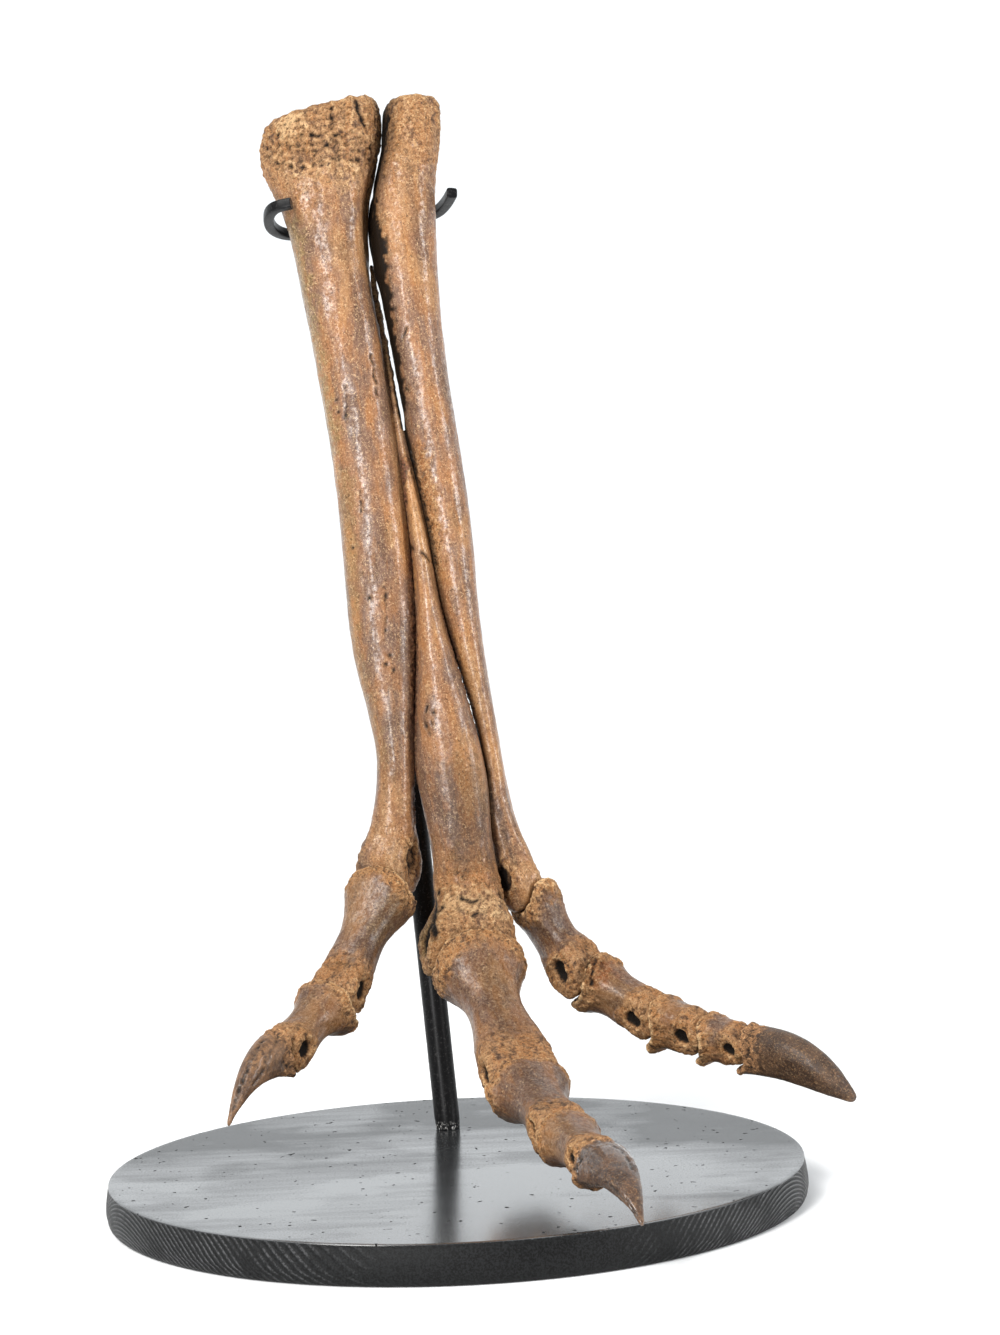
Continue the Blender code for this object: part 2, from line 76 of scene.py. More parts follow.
ROLLER_RADII = {2: (17.5, 14.0, 13.0), 3: (22.0, 15.5, 13.5, 11.5), 4: (15.5, 16.0, 13.5, 12.3, 10.5)}
ROLLER_HALF_WIDTHS = {2: (17.0, 15.5, 11.5), 3: (28.0, 22.0, 15.5, 12.5), 4: (10.3, 14.5, 12.5, 11.0, 9.5)}
CUP_FLOOR = 0.40
LOWER_SHADE = 0.20                     # painted shade: how much darker the long bones are painted towards the toes, where less light falls
LIP_HEIGHT = 1.2                       # the raised lip round a cup
COLLAR_SHARE = 0.72                    # the rough collar round a cup, as a share of its roller's radius
HEAD_TOPS = {2: (-57.0, 172.0, 577.0), 3: (-31.0, 160.0, 490.0), 4: (-5.0, 173.0, 580.0)}


def unit(vector):
    """The vector at length one."""
    vector = np.asarray(vector, dtype=float)
    return vector / np.linalg.norm(vector)


def ease(value):
    """Smooth step from 0 to 1."""
    value = np.clip(value, 0.0, 1.0)
    return value * value * (3.0 - 2.0 * value)


def rise_between(value, low, high):
    """Smooth rise from 0 at low to 1 at high."""
    return ease((np.asarray(value, dtype=float) - low) / (high - low))


VIEW_AHEAD = np.array((0.0, math.cos(VIEW_PITCH), -math.sin(VIEW_PITCH)))
LEVEL_UP = np.array((0.0, math.sin(VIEW_PITCH), math.cos(VIEW_PITCH)))
LEVEL_RIGHT = np.array((1.0, 0.0, 0.0))
VIEW_RIGHT = math.cos(VIEW_ROLL) * LEVEL_RIGHT + math.sin(VIEW_ROLL) * LEVEL_UP
VIEW_UP = math.cos(VIEW_ROLL) * LEVEL_UP - math.sin(VIEW_ROLL) * LEVEL_RIGHT


def sight(pixel):
    """The direction in which a pixel of the photograph looks."""
    right = (pixel[0] - PHOTO_SIZE[0] / 2.0) / VIEW_FOCAL
    up = (PHOTO_SIZE[1] / 2.0 - pixel[1]) / VIEW_FOCAL
    return unit(VIEW_AHEAD + VIEW_RIGHT * right + VIEW_UP * up)


# Shader maths

class Value:
    """A number or colour that varies over a surface: one socket, with arithmetic that adds its nodes."""

    def __init__(self, finish, socket):
        self.finish = finish
        self.socket = socket

    def _math(self, operation, first, second):
        return self.finish.node("ShaderNodeMath", {"operation": operation}, {0: first, 1: second})

    def __add__(self, other):
        return self._math("ADD", self, other)

    __radd__ = __add__

    def __sub__(self, other):
        return self._math("SUBTRACT", self, other)

    def __rsub__(self, other):
        return self._math("SUBTRACT", other, self)

    def __mul__(self, other):
        return self._math("MULTIPLY", self, other)

    __rmul__ = __mul__

    def over(self, low, high):
        """Smooth rise from 0 where this is low to 1 where it is high."""
        return self.finish.node("ShaderNodeMapRange", {"interpolation_type": "SMOOTHSTEP"},
                                {"Value": self, "From Min": low, "From Max": high})

    def under(self, high, low):
        """Smooth rise from 0 where this is high to 1 where it is low."""
        return 1.0 - self.over(low, high)

    def held(self):
        """This, kept between 0 and 1."""
        return self.finish.node("ShaderNodeClamp", {}, {"Value": self})


class Finish:
    """One Principled material and the nodes that feed it."""

    def __init__(self, name, **constants):
        self.material = bpy.data.materials.new(name)
        self.material.use_nodes = True
        self.tree = self.material.node_tree
        self.shader = self.tree.nodes["Principled BSDF"]
        for socket, value in constants.items():
            self.shader.inputs[socket.replace("_", " ")].default_value = value

    def node(self, kind, settings, sockets, output=0):
        """A node of any kind: its settings are set first, then its sockets are filled or linked."""
        made = self.tree.nodes.new(kind)
        for name, value in settings.items():
            setattr(made, name, value)
        for key, value in sockets.items():
            if isinstance(value, Value):
                self.tree.links.new(value.socket, made.inputs[key])
            else:
                made.inputs[key].default_value = value
        return Value(self, made.outputs[output])

    def attribute(self, name, output="Fac"):
        """What the mesh keeps under this name."""
        return self.node("ShaderNodeAttribute", {"attribute_name": name}, {}, output)

    def millimetres(self):
        """The place on the object in millimetres."""
        return self.stretched(self.node("ShaderNodeTexCoord", {}, {}, "Object"), (1.0 / MM,) * 3)

    def parts(self, vector):
        """The three numbers of a vector."""
        split = self.node("ShaderNodeSeparateXYZ", {}, {0: vector}).socket.node
        return [Value(self, split.outputs[index]) for index in range(3)]

    def stretched(self, vector, scale):
        """The vector with each of its parts multiplied."""
        return self.node("ShaderNodeVectorMath", {"operation": "MULTIPLY"}, {0: vector, 1: scale})

    def noise(self, vector, size, detail=2.0, roughness=0.5, distortion=0.0):
        """Cloudy noise from about 0.25 to 0.75, with features of this size."""
        return self.node("ShaderNodeTexNoise", {"noise_dimensions": "3D"},
                         {"Vector": vector, "Scale": 1.0 / size, "Detail": detail,
                          "Roughness": roughness, "Distortion": distortion})

    def cells(self, vector, size):
        """Distance to the nearest of many scattered points, in shares of their spacing."""
        return self.node("ShaderNodeTexVoronoi", {"feature": "F1"}, {"Vector": vector, "Scale": 1.0 / size})

    def mix(self, first, second, share):
        """Colours blended by a share of the second."""
        colours = {6: self._colour(first), 7: self._colour(second), 0: share}
        return self.node("ShaderNodeMix", {"data_type": "RGBA", "clamp_factor": True}, colours, output=2)

    def painted(self, base, *coats):
        """A base colour under coats, each of them a colour and the share of it that covers."""
        for colour, share in coats:
            base = self.mix(base, colour, share)
        return base

    @staticmethod
    def _colour(value):
        return value if isinstance(value, Value) else (*value, 1.0)

    def feed(self, **links):
        """Link values to the shader's sockets."""
        for socket, value in links.items():
            self.tree.links.new(value.socket, self.shader.inputs[socket.replace("_", " ")])

    def bump(self, height, distance, strength=1.0):
        """Link a relief of this height in millimetres to the shader's normal."""
        self.feed(Normal=self.node("ShaderNodeBump", {}, {"Height": height, "Distance": distance * MM,
                                                          "Strength": strength}))


# Bone colours, before light
TAN = (0.41, 0.209, 0.089)
MAUVE_GREY = (0.215, 0.118, 0.078)
MAUVE_BROWN = (0.270, 0.130, 0.068)
MAUVE_DARK = (0.105, 0.049, 0.026)
ORANGE_TAN = (0.46, 0.184, 0.050)
RUST = (0.38, 0.120, 0.026)
OLIVE = (0.25, 0.162, 0.060)
CREAM = (0.84, 0.575, 0.31)
# pale tan, for the bone's own pale patches and for the painted highlight on crests and lips
PALE_TAN_AND_HIGHLIGHT = (0.56, 0.325, 0.150)
DARK_BROWN = (0.042, 0.021, 0.012)
# near black: painted shade in hollows, cracks, joints and gaps, and the claws' dark specks
SHADE_AND_PIT_BLACK = (0.008, 0.005, 0.003)
CRUST_BROWN = (0.150, 0.060, 0.034)
LONG_SHADE = 0.88
TOE_SHADE = 0.50                       # the toe bones are this much darker than the long bones


def bone_finish(name, shade=1.0, gloss=1.0, sheen_spread=0.27):
    """Fossil bone: satin grey-brown where it is worn smooth, porous orange-tan where it is rough."""
    finish = Finish(name, IOR=1.5, Coat_Roughness=sheen_spread, Specular_IOR_Level=0.2)
    place = finish.attribute("place", "Vector")
    rough, hollow, crust = finish.parts(finish.attribute("wear_and_shade", "Vector"))
    rust, pale, olive = finish.parts(finish.attribute("tint_and_highlight", "Vector"))

    def toned(colour):
        return tuple(part * shade for part in colour)

    drawn = finish.stretched(place, (0.40, 1.0, 1.0))
    broad = finish.noise(drawn, 21.0, 2.0, 0.55)
    warm = finish.noise(finish.stretched(drawn, (1.0, -1.0, -1.0)), 14.0, 3.0, 0.55)
    streak = finish.noise(finish.stretched(place, (0.18, 1.0, 1.0)), 4.5, 3.0, 0.6)
    mottle = finish.noise(place, 3.8, 4.0, 0.7)
    grit = finish.noise(place, 1.4, 3.0, 0.8)
    speck = finish.noise(finish.stretched(place, (1.0, -1.0, 1.0)), 0.85, 2.0, 0.7)
    fibre = finish.noise(finish.stretched(place, (0.10, 1.0, 1.0)), 1.0, 3.0, 0.65)

    worn = (1 - rough).held()
    busy = (0.40 + 0.50 * mottle.over(0.45, 0.60) + 0.15 * rough).held()
    rough_skin = finish.mix(TAN, ORANGE_TAN, streak.over(0.44, 0.58) * 0.5)
    pale_and_highlight = finish.mix(PALE_TAN_AND_HIGHLIGHT, CREAM, pale.over(0.6, 1.0) * 0.7)
    grains = finish.cells(place, 1.7)
    crusty = finish.painted(DARK_BROWN, (CRUST_BROWN, grains.under(0.75, 0.25)),
                            (toned(TAN), grit.over(0.52, 0.64) * 0.5))
    finish.feed(Base_Color=finish.painted(
        toned(MAUVE_BROWN),
        (toned(MAUVE_GREY), broad.over(0.46, 0.56)),
        (toned(TAN), broad.under(0.49, 0.40) * 0.85),
        (toned(ORANGE_TAN), warm.over(0.49, 0.60) * 0.38),
        (toned(MAUVE_DARK), warm.under(0.47, 0.37) * 0.50),
        (toned(ORANGE_TAN), streak.over(0.52, 0.62) * 0.28),
        (toned(MAUVE_DARK), fibre.under(0.46, 0.38) * worn * 0.25),
        (rough_skin, rough * mottle.over(0.34, 0.52) * 0.85),
        (toned(OLIVE), olive * mottle.over(0.34, 0.50) * 0.85),
        (toned(RUST), rust * mottle.over(0.38, 0.52)),
        (toned(MAUVE_DARK), mottle.under(0.46, 0.37) * (0.15 + 0.45 * rough)),
        # pale: the bone's own pale patches, and painted highlight on the crests and lips
        (pale_and_highlight, pale * mottle.over(0.36, 0.52) * 0.75),
        (toned(CREAM), grit.over(0.54, 0.63) * busy * 0.50),
        (toned(DARK_BROWN), grit.under(0.45, 0.37) * busy * 0.80),
        (toned(CREAM), speck.over(0.58, 0.67) * busy * 0.7),
        (toned(DARK_BROWN), speck.under(0.42, 0.34) * busy * 0.8),
        (crusty, crust * mottle.over(0.34, 0.48)),
        # painted shade: the hollow mask
        (SHADE_AND_PIT_BLACK, hollow)))

    dull = 0.42 + rough * 0.30 + crust * 0.2 + (mottle - 0.5) * 0.3 + (grit - 0.5) * 0.25
    finish.feed(Roughness=dull.held())
    bare = (1 - rough - hollow * 1.4 - crust).held()
    sheen = 0.10 + mottle.over(0.36, 0.56) - grit.under(0.50, 0.40) * 0.7
    finish.feed(Coat_Weight=(bare * gloss * sheen).held())
    height = grit * (0.14 + 1.35 * rough) + speck * (0.10 + 0.45 * rough) + fibre * 0.18 * worn
    finish.bump(height + mottle * (0.15 + 0.9 * rough) - grains * crust * 0.6, 1.0)
    return finish.material


# The claws by toe: their colours, how glossy and how dull they are, and how far along they are rough
CLAWS = {2: {"name": "inner", "dark": (0.082, 0.043, 0.024), "light": (0.175, 0.093, 0.049),
             "gloss": 0.2, "dull": 0.46, "rough_to": 9.0},
         3: {"name": "middle", "dark": (0.036, 0.017, 0.009), "light": (0.074, 0.037, 0.020),
             "gloss": 1.0, "dull": 0.40, "rough_to": 4.0},
         4: {"name": "outer", "dark": (0.036, 0.0185, 0.010), "light": (0.072, 0.039, 0.021),
             "gloss": 0.1, "dull": 0.52, "rough_to": 4.0}}
CLAW_BASE = (0.27, 0.138, 0.063)


def claw_finish(claw):
    """Fossil claw: darker and smoother than the bones, with fine lines along it and a rough base."""
    finish = Finish(f"fossil_{claw['name']}_claw_finish", IOR=1.5, Coat_Roughness=0.16,
                    Specular_IOR_Level=0.35)
    place = finish.attribute("place", "Vector")
    rough, hollow, crust = finish.parts(finish.attribute("wear_and_shade", "Vector"))
    rust, pale, olive = finish.parts(finish.attribute("tint_and_highlight", "Vector"))
    lines = finish.noise(finish.stretched(place, (0.14, 1.0, 1.0)), 1.5, 3.0, 0.6)
    mottle = finish.noise(place, 3.2, 4.0, 0.7)
    grit = finish.noise(place, 1.3, 3.0, 0.8)
    speck = finish.noise(finish.stretched(place, (1.0, -1.0, 1.0)), 0.9, 2.0, 0.7)
    broad = finish.noise(place, 12.0, 3.0, 0.6)

    worn = (1 - rough).held()
    finish.feed(Base_Color=finish.painted(
        claw["dark"],
        (claw["light"], broad.over(0.42, 0.58)),
        (DARK_BROWN, lines.under(0.47, 0.38) * 0.55),
        (CLAW_BASE, rough * mottle.over(0.40, 0.52) * 0.9),
        (ORANGE_TAN, rough * grit.over(0.50, 0.62) * 0.5),
        # rust is the claw's own colour; pale is painted highlight along the lip
        (TAN, (rust + pale + olive) * mottle.over(0.42, 0.56) * 0.6),
        (CREAM, grit.over(0.55, 0.66) * (0.14 + 0.30 * rough)),
        (TAN, speck.over(0.56, 0.66) * 0.30),
        (SHADE_AND_PIT_BLACK, grit.under(0.45, 0.35) * (0.35 + 0.35 * rough)),
        (CRUST_BROWN, crust * mottle.over(0.38, 0.52)),
        # painted shade: the hollow mask
        (SHADE_AND_PIT_BLACK, hollow)))
    dull = claw["dull"] + rough * 0.30 + (mottle - 0.5) * 0.45 + (grit - 0.5) * 0.3
    finish.feed(Roughness=dull.held())
    finish.feed(Coat_Weight=(worn * claw["gloss"] * mottle.over(0.36, 0.54)).held())
    finish.bump(grit * (0.35 + 0.9 * rough) + lines * 0.4 * worn + mottle * 0.7 + speck * 0.2, 0.8)
    return finish.material


STAIN = (0.016, 0.017, 0.018)
STAIN_THIN = (0.052, 0.054, 0.056)
STAIN_PIT = (0.003, 0.003, 0.003)
RING_GREY = (0.100, 0.101, 0.104)
LOG_HEART = (0.0, -70.0, -42.0)        # the growth rings lie round a line along X through here
RING_SCALE = 0.150                     # a growth ring each 2.1 mm


def board_top_finish():
    """Black-stained softwood, satin, with long soft streaks of sheen and small dark pits."""
    finish = Finish("stained_wood_top_finish", IOR=1.5, Coat_Roughness=0.17, Coat_IOR=1.85,
                    Specular_IOR_Level=0.15)
    place = finish.millimetres()
    patch = finish.noise(finish.stretched(place, (0.7, 1.0, 1.0)), 52.0, 3.0, 0.5)
    streak = finish.noise(finish.stretched(place, (0.10, 1.0, 0.6)), 12.0, 3.0, 0.6)
    pit = finish.noise(finish.stretched(place, (0.8, 0.6, 1.0)), 3.0, 1.0, 0.5)
    speck = finish.noise(place, 1.0, 2.0, 0.6)
    across, front, _ = finish.parts(place)
    pits = pit.under(0.275, 0.245)
    finish.feed(Base_Color=finish.painted(STAIN, (STAIN_THIN, speck.over(0.52, 0.68) * 0.9),
                                          (STAIN_PIT, pits)))
    finish.feed(Roughness=(0.20 + (patch - 0.5) * 0.15 + (speck - 0.5) * 0.35 + pits * 0.5).held())
    # Painted reflection: the coat is made lighter towards the sides and the back and heavier towards the
    # front, which sets by place how brightly the board reflects
    rim = (across.over(60.0, 165.0) * 0.60 + across.under(-60.0, -165.0) * 0.40
           + front.over(30.0, 150.0) * 0.15)
    sheen = patch.over(0.38, 0.62) * 0.65 + (streak - 0.5) * 0.9 + front.under(80.0, -60.0) * 0.85
    finish.feed(Coat_Weight=((sheen - rim - speck.over(0.50, 0.64) * 0.35) * (1 - pits)).held())
    finish.bump(streak * 0.10 - pits * 2.2 + speck * 0.35, 0.20)
    return finish.material


def board_side_finish():
    """The board's side: blacker, with the growth rings standing up as fine ridges."""
    finish = Finish("stained_wood_side_finish", IOR=1.5, Specular_IOR_Level=0.16)
    place = finish.millimetres()
    speck = finish.noise(place, 1.0, 3.0, 0.7)
    cloud = finish.noise(place, 16.0, 3.0, 0.6)
    centred = finish.node("ShaderNodeVectorMath", {"operation": "SUBTRACT"}, {0: place, 1: LOG_HEART})
    rings = finish.node("ShaderNodeTexWave", {"wave_type": "RINGS", "rings_direction": "X"},
                        {"Vector": centred, "Scale": RING_SCALE, "Distortion": 0.9, "Detail": 2.0,
                         "Detail Scale": 0.3}, "Fac")
    across = finish.parts(place)[0]
    end_grain = across.over(70.0, 150.0) + across.under(-20.0, -110.0) * 0.8
    ridge = rings.over(0.60, 0.97) * cloud.over(0.34, 0.56) * end_grain
    finish.feed(Base_Color=finish.painted(
        STAIN_PIT, (STAIN, speck.over(0.42, 0.58) * 0.6),
        (RING_GREY, ridge * (0.25 + 0.75 * speck.over(0.44, 0.58)))))
    finish.feed(Roughness=(0.50 + (speck - 0.5) * 0.6 - ridge * 0.15).held())
    finish.bump(rings * end_grain * 1.0 + speck * 0.5, 0.40)
    return finish.material


PAINT = (0.0085, 0.0085, 0.009)
PAINT_WORN = (0.060, 0.058, 0.057)
CHIP_AND_GLINT = (0.60, 0.59, 0.57)
CHIP_AND_GLINT_TOP = 25.5                        # pale chips and painted glints reach up to this height on the post


def steel_finish():
    """Black painted steel, with worn spots, and pale spots at the post's foot: partly chipped paint, partly
    painted glints.
    """
    finish = Finish("black_steel_finish", IOR=1.5, Specular_IOR_Level=0.12)
    place = finish.millimetres()
    height = finish.parts(place)[2]
    blotch = finish.noise(place, 7.0, 4.0, 0.6)
    speck = finish.noise(place, 1.2, 3.0, 0.7)
    # pale spots at the foot: partly chipped paint, partly painted glints
    foot = height.under(CHIP_AND_GLINT_TOP, CHIP_AND_GLINT_TOP - 4.0)
    finish.feed(Base_Color=finish.painted(PAINT, (PAINT_WORN, speck.over(0.55, 0.68) * 0.6),
                                          (CHIP_AND_GLINT, foot * speck.over(0.56, 0.60))))
    finish.feed(Roughness=(0.34 + (blotch - 0.5) * 0.3 + (speck - 0.5) * 0.3).held())
    finish.bump(blotch * 0.5 + speck * 0.35, 0.14)
    return finish.material


# Surfaces

# Of these masks, hollow is painted shade in hollows, cracks, joints and gaps; pale is partly pale colour and
# partly painted highlight
MASKS = ("rough", "hollow", "crust", "rust", "pale", "olive")


def put(name, data):
    """A new object in the scene that shows this data."""
    made = bpy.data.objects.new(name, data)
    bpy.context.scene.collection.objects.link(made)
    return made


def dense_mesh(node, levels, voxel=None, smoothing=0, crispness=0.0):
    """The node's solid as one even, smooth mesh: welded, subdivided and, with a voxel size, remeshed."""
    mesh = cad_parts[node].data.copy()
    work = bmesh.new()
    work.from_mesh(mesh)
    bmesh.ops.remove_doubles(work, verts=work.verts, dist=0.01 * MM)
    bmesh.ops.join_triangles(work, faces=work.faces, angle_face_threshold=math.radians(50.0),
                             angle_shape_threshold=math.radians(80.0))
    if crispness:
        crease = work.edges.layers.float.new("crease_edge")
        for edge in work.edges:
            if edge.calc_face_angle(0.0) > math.radians(50.0):
                edge[crease] = crispness
    work.to_mesh(mesh)
    work.free()
    holder = put("holder", mesh)
    swell = holder.modifiers.new("subdivide", "SUBSURF")
    swell.levels = swell.render_levels = levels
    if voxel:
        even = holder.modifiers.new("even", "REMESH")
        even.mode = "VOXEL"
        even.voxel_size = voxel * MM
    if smoothing:
        soft = holder.modifiers.new("soft", "SMOOTH")
        soft.factor = 0.5
        soft.iterations = smoothing
    seen = holder.evaluated_get(bpy.context.evaluated_depsgraph_get())
    made = bpy.data.meshes.new_from_object(seen)
    bpy.data.objects.remove(holder)
    made.materials.clear()
    for spare in list(made.attributes):
        if spare.name.startswith("UV") or spare.name in ("sharp_edge", "sharp_face", "custom_normal"):
            made.attributes.remove(spare)
    return made


def keep(mesh, name, values):
    """Store one number or one vector for each point of a mesh."""
    values = np.asarray(values, dtype=np.float32)
    kind, key = ("FLOAT_VECTOR", "vector") if values.ndim == 2 else ("FLOAT", "value")
    mesh.attributes.new(name, kind, "POINT").data.foreach_set(key, values.ravel())


def add_piece(name, mesh, material):
    """Put a finished mesh in the scene as the piece that stands for a node."""
    mesh.materials.append(material)
    mesh.shade_smooth()
    made = put(name + "_look", mesh)
    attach(made, "root")
    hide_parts(name)


class Bone:
    """One bone or claw while it is worn: its points, its own axes, its relief and its masks."""

    def __init__(self, node, start, end, across, voxel, smoothing=6):
        self.node = node
        self.mesh = dense_mesh(node, 2, voxel, smoothing)
        count = len(self.mesh.vertices)
        flat = np.empty(count * 3, np.float32)
        self.mesh.vertices.foreach_get("co", flat)
        self.points = flat.reshape(-1, 3).astype(float) / MM
        self.mesh.vertex_normals.foreach_get("vector", flat)
        self.normals = flat.reshape(-1, 3).astype(float)
        start = np.asarray(start, dtype=float)
        self.length = np.linalg.norm(end - start)
        along_axis = unit(end - start)
        across_axis = unit(across - along_axis * np.dot(across, along_axis))
        offset = self.points - start
        self.along = offset @ along_axis
        self.side = offset @ across_axis
        self.rise = offset @ np.cross(across_axis, along_axis)
        self.share = self.along / self.length
        seed = 50.0 + 13.7 * sum(ord(letter) for letter in node)
        self.place = np.column_stack((self.along, self.side, self.rise)) + seed
        self.lift = np.zeros(count)
        self.masks = {name: np.zeros(count) for name in MASKS}
        self.wander = self.field(noise.noise_vector, 5.0)
        self.patchy = self.cloud(3.5, octaves=2, shift=17.0)
        self.tree = solid_tree(node)

    def field(self, function, size, stretch=1.0, shift=0.0):
        """A noise function over the bone, drawn out along it by stretch."""
        scaled = (self.place + shift) / (size * stretch, size, size)
        return np.array([function(point) for point in scaled.tolist()])

    def cloud(self, size, stretch=1.0, octaves=3, shift=0.0):
        """Fractal noise of about -1 to 1."""
        return self.field(lambda point: noise.fractal(point, 0.9, 2.0, octaves), size, stretch, shift)

    def creases(self, size, stretch=1.0, shift=0.0):
        """1 along a net of winding creases, 0 between them."""
        net = self.field(lambda point: abs(noise.noise(point)), size, stretch, shift)
        finer = self.field(lambda point: abs(noise.noise(point)), 0.45 * size, stretch, shift + 5.0)
        return np.maximum(1.0 - net / 0.11, 0.75 - finer / 0.12).clip(0.0, 1.0)

    def mark(self, mask, amount):
        """Raise a mask by an amount for each point."""
        self.masks[mask] = np.clip(self.masks[mask] + amount, 0.0, 1.0)

    def seen(self, pixel):
        """Where a pixel of the photograph meets the bone, or comes nearest to it."""
        direction = sight(pixel)
        hit = self.tree.ray_cast(Vector(VIEW_FROM), Vector(direction))[0]
        if hit is None:
            reach = (self.points - VIEW_FROM) @ direction
            gap = np.linalg.norm(self.points - VIEW_FROM - np.outer(reach, direction), axis=1)
            hit = self.points[np.argmin(np.where(self.normals @ direction < 0.0, gap, FAR))]
        return np.array(hit)

    def near_line(self, pixels, wander=0.0):
        """Distance of each point to a line over the bone through pixels of the photograph."""
        spots = [self.seen(pixel) for pixel in pixels]
        points = self.points + wander * self.wander
        best = np.full(len(points), FAR)
        for first, second in zip(spots, spots[1:] or spots):
            line = second - first
            share = np.clip((points - first) @ line / max(line @ line, 1e-9), 0.0, 1.0)
            best = np.minimum(best, np.linalg.norm(points - first - np.outer(share, line), axis=1))
        return best

    def groove(self, pixels, width, depth, dark=0.0, wander=1.2, broken=0.5):
        """Cut a wandering groove along a line, or a dent at one pixel, with painted shade in it as dark as
        dark says. A negative depth raises it.
        """
        keep_share = (1.0 - broken * (0.5 - 1.6 * self.patchy)).clip(0.0, 1.15)
        profile = np.exp(-(self.near_line(pixels, wander) / width) ** 2) * keep_share
        self.lift -= depth * profile
        self.mark("hollow", dark * profile)

    def pits(self, pixels, *settings):
        """Cut a small dent at each pixel."""
        for pixel in pixels:
            self.groove((pixel,), *settings)

    def patch(self, pixels, width, mask, amount=1.0):
        """Raise a mask along a line or round a pixel, with an uneven edge."""
        distance = self.near_line(pixels, 0.45 * width) / (width * (1.0 + 0.7 * self.patchy).clip(0.3, 2.0))
        self.mark(mask, amount * ease(1.5 - distance))

    def make_marks(self):
        """Make the marks that the tables give for this piece, in their order."""
        for make, *settings in MARKS.get(self.node, {}).values():
            make(self, *settings)

    def ligament_pit(self, half_width, radius, depth, dark=1.0):
        """The hollows on both sides of the far roller, where the ligaments held on."""
        for way in (-1.0, 1.0):
            local = np.column_stack((self.along - self.length, 0.45 * (self.side - way * half_width),
                                     1.2 * (self.rise - 0.12 * radius))) + 0.35 * self.wander
            distance = np.linalg.norm(local, axis=1) / radius
            profile = rise_between(-distance, -1.15, -0.55)
            self.lift -= depth * profile
            # painted shade in the pits
            self.mark("hollow", dark * rise_between(profile, 0.25, 0.8))
            self.mark("rough", 0.7 * ease(2.0 - distance))

    def gaps_to(self, other, reach):
        """Each point's distance to a neighbour, and how squarely it faces it, as far as this reach."""
        tree = solid_tree(other)
        gaps = np.full(len(self.points), FAR)
        facing = np.zeros(len(self.points))
        for index, point in enumerate(self.points):
            spot, _, _, gap = tree.find_nearest(Vector(point), reach)
            if spot is not None:
                gaps[index] = gap
                facing[index] = (np.array(spot) - point) @ self.normals[index] / max(gap, 1e-6)
        return gaps, facing

    def shade_by(self, other, reach, amount, turned=-0.6):
        """Paint shade on what lies near a neighbour and is turned towards it."""
        gaps, facing = self.gaps_to(other, reach)
        turned_to = rise_between(facing, turned - 0.5, turned + 0.3)
        self.mark("hollow", amount * ease((reach - gaps) / reach) * turned_to)

    def meet(self, other, low, high, reach=2.6, overlap=0.15):
        """Grow towards a neighbour where the two all but touch, so that no light passes between them."""
        gaps, facing = self.gaps_to(other, reach)
        held = (self.points[:, 2] > low) & (self.points[:, 2] < high) & (facing > 0.7)
        near = held * rise_between(-gaps, -reach, -0.5 * reach)
        self.lift += near * (0.5 * np.minimum(gaps, reach) + overlap - self.lift)

    def sunk(self, moved, rounds):
        """How far each point lies under the mean of its surroundings; more rounds look further out."""
        count = len(moved)
        ends = np.empty(len(self.mesh.edges) * 2, np.int32)
        self.mesh.edges.foreach_get("vertices", ends)
        first, second = ends[0::2], ends[1::2]
        neighbours = np.bincount(ends, minlength=count)
        mean = moved
        for _ in range(rounds):
            sums = [np.bincount(first, mean[second, axis], count)
                    + np.bincount(second, mean[first, axis], count) for axis in range(3)]
            mean = np.column_stack(sums) / neighbours[:, None]
        return ((mean - moved) * self.normals).sum(axis=1)

    def paint_relief_shading(self, moved):
        """Painted shade darkens the hollows of the relief, and painted highlight makes its crests pale."""
        rough = self.masks["rough"]
        near = self.sunk(moved, 3)
        wide = self.sunk(moved, 26)
        self.mark("hollow", (0.15 + 0.35 * rough) * rise_between(near, 0.06, 0.34))
        self.mark("hollow", (0.35 + 0.10 * rough) * rise_between(wide, 0.12, 1.10))
        self.mark("pale", 0.65 * rough * rise_between(-near, 0.03, 0.20)
                  + 0.30 * rise_between(-wide, 0.25, 0.9))

    def weather(self, dents=0.5, lumps=0.8, wrinkles=0.35, fibres=0.10):
        """The relief that all bones share: dents, torn skin at the rough ends, fibres on the shaft."""
        rough = self.masks["rough"]
        self.lift += (dents * self.cloud(22.0, 2.2)
                      + (0.3 + 0.7 * rough) * dents * self.cloud(8.0, 1.3, shift=4.0))
        torn = self.cloud(4.2, 0.8, 5, 8.0)
        creases = self.creases(6.5, 0.75, 2.0)
        self.lift += rough * (lumps * torn - wrinkles * creases)
        self.lift += fibres * (1.0 - rough) * self.cloud(1.8, 12.0, 2, 5.0)
        self.lift += self.masks["crust"] * (0.5 + 0.9 * self.cloud(2.4, octaves=3, shift=7.0))
        # painted shade in the creases
        self.mark("hollow", (0.08 + 0.14 * rough) * creases)

    def finish(self, material, slot):
        """Move the points by the relief, keep the masks and show the bone."""
        moved = self.points + self.normals * self.lift[:, None]
        self.paint_relief_shading(moved)
        self.mesh.vertices.foreach_set("co", (moved * MM).astype(np.float32).ravel())
        keep(self.mesh, "place", self.place)
        masks = self.masks
        # wear_and_shade: roughness, painted shade (the hollow mask) and crust
        keep(self.mesh, "wear_and_shade", np.column_stack((masks["rough"], masks["hollow"], masks["crust"])))
        # tint_and_highlight: rust, pale (partly painted highlight) and olive
        keep(self.mesh, "tint_and_highlight", np.column_stack((masks["rust"], masks["pale"], masks["olive"])))
        add_piece(self.node, self.mesh, material)


